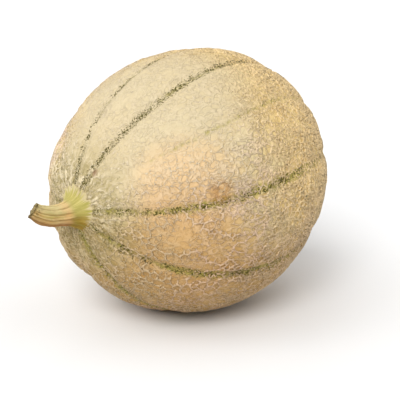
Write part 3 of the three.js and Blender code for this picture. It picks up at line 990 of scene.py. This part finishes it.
def stalk_path(nodes, sizes, along):
    """The bent path: its length, and at a point its place and three directions."""
    bends = {"Start": sizes["Root"], "Start Handle": sizes["Root Pull"],
             "End Handle": sizes["Tip Pull"], "End": sizes["Tip"], "Resolution": 64}
    path = nodes.field("GeometryNodeCurvePrimitiveBezierSegment", bends, mode="POSITION")
    length = nodes.field("GeometryNodeCurveLength", {"Curve": path})
    sample = nodes.node("GeometryNodeSampleCurve", {"Curves": path, "Factor": along}, mode="FACTOR")
    outputs = {socket.name: Field(nodes, socket) for socket in sample.outputs if socket.enabled}
    forward = outputs["Tangent"]
    forward_y = nodes.split(forward)[1]
    sideways = nodes.vector("SUBTRACT", (0.0, 1.0, 0.0), nodes.scaled(forward, forward_y))
    sideways = nodes.normalized(sideways)
    downwards = nodes.vector("CROSS_PRODUCT", forward, sideways)
    return length, outputs["Position"], forward, sideways, downwards


# %% The stalk's tree: its radius, and the depth of its valleys
def stalk_radius(nodes, sizes, distance, length, turn):
    """Flare, taper, lip, ridges that run out towards the root, and fine fibres."""
    cosine, sine = nodes.math("COSINE", turn), nodes.math("SINE", turn)
    from_tip = length - distance
    free = nodes.at_least(distance - sizes["Root Thickness"], 0.0)
    flare = nodes.math("EXPONENT", -(free / sizes["Flare"]))
    taper = free / (length - sizes["Root Thickness"])
    neck = sizes["Neck Radius"] + (sizes["Tip Radius"] - sizes["Neck Radius"]) * taper
    lip = nodes.math("EXPONENT", -(from_tip * from_tip)) * sizes["Lip"]

    def uneven(size, run, scale, detail):
        """Noise round the stalk, of a size across it, that changes slowly over a run of mm."""
        along = distance / run if run else 0.0
        return nodes.noise(nodes.join(cosine * size, sine * size, along), scale, detail) - 0.5

    wobble = uneven(1.0, 30.0, 2.0, 1.0) * sizes["Ridge Wobble"]
    wave = nodes.math("COSINE", turn * STALK_RIDGES + wobble)
    valley = ((1.0 - wave) / 2.0) ** 2.0
    fibres = uneven(3.0, 22.0, 3.2, 3.0) * sizes["Fibres"]
    lumps = uneven(1.0, 9.0, 1.6, 2.0) * sizes["Lumps"]
    rays = uneven(4.0, 8.0, 2.0, 2.0) * flare * sizes["Root Rays"]
    tongues = uneven(2.2, None, 2.0, 2.0) * flare * flare * sizes["Root Tongues"]
    depth = sizes["Ridge Depth"] - flare * sizes["Shallower At Root"]
    radius = neck + (sizes["Root Radius"] - neck) * flare + lip
    radius = radius + 0.2 - valley * depth + fibres + lumps + rays + tongues
    thinner = nodes.at_least(sine, 0.0) * sizes["Thinner Below"]
    return radius * (1.0 - thinner * nodes.bell(from_tip, sizes["Thinner Along"])), valley


# %% The stalk's tree: every point to its place
def ridged_stalk():
    nodes, sizes = new_tree("ridged stalk", STALK)
    mesh, along, inward, turn = stalk_cylinder(nodes)
    length, middle_line, forward, sideways, downwards = stalk_path(nodes, sizes, along)
    distance = along * length
    from_tip = length - distance
    cosine, sine = nodes.math("COSINE", turn), nodes.math("SINE", turn)
    radius, valley = stalk_radius(nodes, sizes, distance, length, turn)
    mesh = stored(nodes, mesh, "valley", valley)

    # The cut end: sunk in the middle, ragged round the rim
    at_cut = nodes.math("GREATER_THAN", along, 0.9999)
    sunk = (1.0 - inward ** 3.0) * sizes["Cut Dish"] * at_cut
    ragged = nodes.noise(nodes.join(cosine, sine, inward), 5.0, 2.0) - 0.5
    ragged = ragged * sizes["Cut Raggedness"]
    ragged = ragged * nodes.math("EXPONENT", -(from_tip / 1.5))
    slanted = (cosine * CUT_FACES[0] + sine * CUT_FACES[1]) * inward * sizes["Cut Slant"]
    ragged = ragged + slanted * nodes.bell(from_tip, 6.0)

    across = nodes.added(nodes.scaled(sideways, cosine), nodes.scaled(downwards, sine))
    place = nodes.added(middle_line, nodes.scaled(across, radius * inward))
    place = nodes.added(place, nodes.scaled(forward, ragged - sunk))
    mesh = stored(nodes, mesh, "distance", distance)
    mesh = moved(nodes, mesh, place)
    turned_place = nodes.join(cosine, sine, distance / 10.0)
    mesh = stored(nodes, mesh, "turned", turned_place, data_type="FLOAT_VECTOR")
    return finished_tree(nodes, mesh, sizes["Material"])


# %% [markdown]
# ## The stalk's finish
#
# A dry stalk is straw coloured and streaked along its fibres, greener and duller where it spreads
# over the fruit, brown underneath, and dark on the cut with a paler pith. Noise read in space
# would cut straight through a bent piece, as through a block of wood. Here it is read from the
# stalk's own turn and length, which its tree stored, so that every streak follows the bend.

# %% The stalk's paints
WOOD = paints(
    straw=(190, 152, 84), pale_straw=(224, 198, 138), green=(182, 164, 88), sunny=(218, 206, 152),
    pink=(222, 172, 114), brown=(146, 92, 44), valley=(136, 98, 38), spots=(112, 92, 48),
    burnt=(96, 82, 42))
ROOT = paints(
    top=(180, 168, 92), low=(142, 112, 24), ray=(156, 150, 70), pale_top=(206, 192, 122),
    pale_low=(176, 150, 66), rim=(202, 186, 142), low_rim=(160, 136, 84))
PITH = paints(dark=(98, 84, 44), pale=(176, 156, 104))
print("paints for the stalk:", len(WOOD) + len(ROOT) + len(PITH))


# %% The stalk's material
STALK_ROUGHNESS = 0.7
STALK_RELIEF = 0.0006


def stalk_root(nodes, down, rays):
    """The cushion: greener on top, browner below, with rays."""
    pale = mixed(nodes, nodes.ramp(down, -0.4, 0.5), ROOT["pale_top"], ROOT["pale_low"])
    return layered(
        nodes, mixed(nodes, nodes.ramp(down, -0.5, 0.6), ROOT["top"], ROOT["low"]),
        (nodes.ramp(rays, 0.5, 0.68) * 0.6, ROOT["ray"]),
        (nodes.ramp(rays, 0.48, 0.34) * 0.7, pale))


def stalk_material():
    material, nodes = new_material("melon stalk")
    distance, inward, valley = [attribute(nodes, name) for name in ("distance", "inward", "valley")]
    cosine, down, along = nodes.split(attribute(nodes, "turned", "Vector"))

    def uneven(size, run, scale, detail):
        """Noise that follows the stalk, of a size across it and along it."""
        return nodes.noise(nodes.join(cosine * size, down * size, along * run), scale, detail)

    streaks, blots = uneven(3.0, 0.35, 2.6, 4.0), uneven(1.0, 1.0, 1.7, 2.0)
    rays, spots = uneven(6.0, 0.5, 2.0, 3.0), uneven(2.0, 2.6, 2.4, 2.0)
    pink = nodes.ramp(distance + blots * 4.0, 8.0, 12.5)
    pink = pink * nodes.ramp(distance + blots * 6.0, 20.0, 13.0)
    brown = nodes.ramp(down, 0.3, 0.85) * nodes.ramp(distance, 3.0, 8.0)
    rim = mixed(nodes, nodes.ramp(down, 0.1, 0.6), ROOT["rim"], ROOT["low_rim"])
    length = (STALK["Tip"] - STALK["Root"]).length
    spotted = nodes.ramp(spots, 0.5, 0.58) * nodes.ramp(distance, length - 5.0, length - 1.0) * 0.7
    burnt = nodes.ramp(distance + streaks * 3.0, length + 0.2, length + 1.8)
    wood = layered(
        nodes, mixed(nodes, nodes.ramp(streaks, 0.35, 0.65), WOOD["straw"], WOOD["pale_straw"]),
        (nodes.ramp(blots, 0.5, 0.7) * 0.8, WOOD["green"]),
        (nodes.ramp(down, 0.0, -0.8) * 0.7, WOOD["sunny"]),
        (pink * 0.4, WOOD["pink"]),
        (brown * 0.75, WOOD["brown"]),
        (nodes.ramp(valley, 0.45, 1.0) * 0.45, WOOD["valley"]),
        (nodes.ramp(distance + rays * 3.0, 12.0, 7.5), stalk_root(nodes, down, rays)),
        (nodes.ramp(distance + rays * 7.0, 6.2, 4.4), rim),
        (spotted, WOOD["spots"]),
        (burnt * nodes.ramp(rays, 0.38, 0.52, 0.3, 1.0), WOOD["burnt"]))

    rings = nodes.noise(nodes.join(cosine * inward, down * inward, 0.0), 7.0, 3.0)
    pith = mixed(nodes, nodes.ramp(rings, 0.4, 0.6), PITH["dark"], PITH["pale"])
    surface = mixed(nodes, nodes.ramp(inward, 0.98, 0.85), wood, pith)
    fine = uneven(6.0, 1.0, 4.0, 4.0)
    finish_material(nodes, surface, STALK_ROUGHNESS, fine, 0.5, STALK_RELIEF)
    print("the stalk's finish has", len(nodes.tree.nodes), "nodes")
    return material


# %% Grow the stalk
stalk = grown("ridged_stem", ridged_stalk(), {**STALK, "Material": stalk_material()})
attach(stalk, "root")
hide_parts("stem")

# %% [markdown]
# ## The studio
#
# Fruit is often shown on white paper under large soft lights. The paper here is one wide plane. A
# lamp with a small disc would cast a hard shadow, and an area light would have to be placed and
# sized in metres. A sun whose disc is made very wide gives the same soft light from one direction
# over the whole scene, so each light needs only a direction, a width and a strength.


# %% The paper that the fruit lies on
PAPER_WIDTH = 12
PAPER_GREY = 0.86
PAPER_ROUGHNESS = 0.9


def paper():
    material = bpy.data.materials.new("studio paper")
    material.use_nodes = True
    shader = material.node_tree.nodes["Principled BSDF"]
    shader.inputs["Base Color"].default_value = (PAPER_GREY, PAPER_GREY, PAPER_GREY, 1)
    shader.inputs["Roughness"].default_value = PAPER_ROUGHNESS
    return material


bpy.ops.mesh.primitive_plane_add(size=PAPER_WIDTH)
floor = bpy.context.object
floor.name = "studio_floor"
floor.data.materials.append(paper())

# %% [markdown]
# ## The camera
#
# A camera can be turned by hand until the view seems right. Worked out from an azimuth, an
# elevation, a distance and a focal length, it can be understood and repeated. The fruit's middle
# isn't quite in the middle of the picture, so the camera aims a little past it.

# %% Camera
CAMERA_AZIMUTH = math.radians(-40)
CAMERA_ELEVATION = math.radians(17.3)
CAMERA_DISTANCE = 0.843
CAMERA_REACH = 50
FOCAL_PIXELS = 1521
FRAME_PIXELS = 400
SENSOR = 36.0
BODY_PIXEL = (191.4, 179.8)           # where the fruit's middle is seen, from the top left corner


def turned(azimuth, elevation):
    """The direction towards a viewer at an azimuth and an elevation."""
    level = math.cos(elevation)
    return Vector((math.sin(azimuth) * level, -math.cos(azimuth) * level, math.sin(elevation)))


middle = Vector((0, 0, middle_height * MM))
back = turned(CAMERA_AZIMUTH, CAMERA_ELEVATION)
right = Vector((math.cos(CAMERA_AZIMUTH), math.sin(CAMERA_AZIMUTH), 0))
up = back.cross(right)
pixel = CAMERA_DISTANCE / FOCAL_PIXELS
half = FRAME_PIXELS / 2
aim = middle + right * (half - BODY_PIXEL[0]) * pixel + up * (BODY_PIXEL[1] - half) * pixel
camera_data = bpy.data.cameras.new("camera")
camera_data.sensor_width = SENSOR
camera_data.lens = SENSOR * FOCAL_PIXELS / FRAME_PIXELS
camera_data.clip_end = CAMERA_REACH
camera = bpy.data.objects.new("camera", camera_data)
camera.location = middle + back * CAMERA_DISTANCE
camera.rotation_euler = (aim - camera.location).to_track_quat("-Z", "Y").to_euler()
bpy.context.scene.collection.objects.link(camera)
bpy.context.scene.camera = camera
print("lens, mm:", round(camera_data.lens, 1), "one pixel at the fruit, mm:", round(pixel / MM, 2))

# %% Lights
# Each light's strength, its width, how far it stands left of the camera, and its elevation, the
# last three in degrees
LIGHTS = {
    "lamp": (1.7, 30, 12, 40),
    "left softbox": (1.4, 60, 48, 46),
    "far softbox": (1.5, 90, 130, 40),
    "right softbox": (1.4, 90, -100, 36),
}
WORLD_STRENGTH = 0.05
for name, (strength, width, left, elevation) in LIGHTS.items():
    light_data = bpy.data.lights.new(name, "SUN")
    light_data.energy = strength
    light_data.angle = math.radians(width)
    light = bpy.data.objects.new(name, light_data)
    from_there = turned(CAMERA_AZIMUTH - math.radians(left), math.radians(elevation))
    light.rotation_euler = from_there.to_track_quat("Z", "Y").to_euler()
    bpy.context.scene.collection.objects.link(light)
world = bpy.data.worlds.new("studio")
world.use_nodes = True
world.node_tree.nodes["Background"].inputs["Color"].default_value = (1, 1, 1, 1)
world.node_tree.nodes["Background"].inputs["Strength"].default_value = WORLD_STRENGTH
bpy.context.scene.world = world
bpy.context.scene.view_settings.view_transform = "Standard"
print("lights:", ", ".join(LIGHTS))
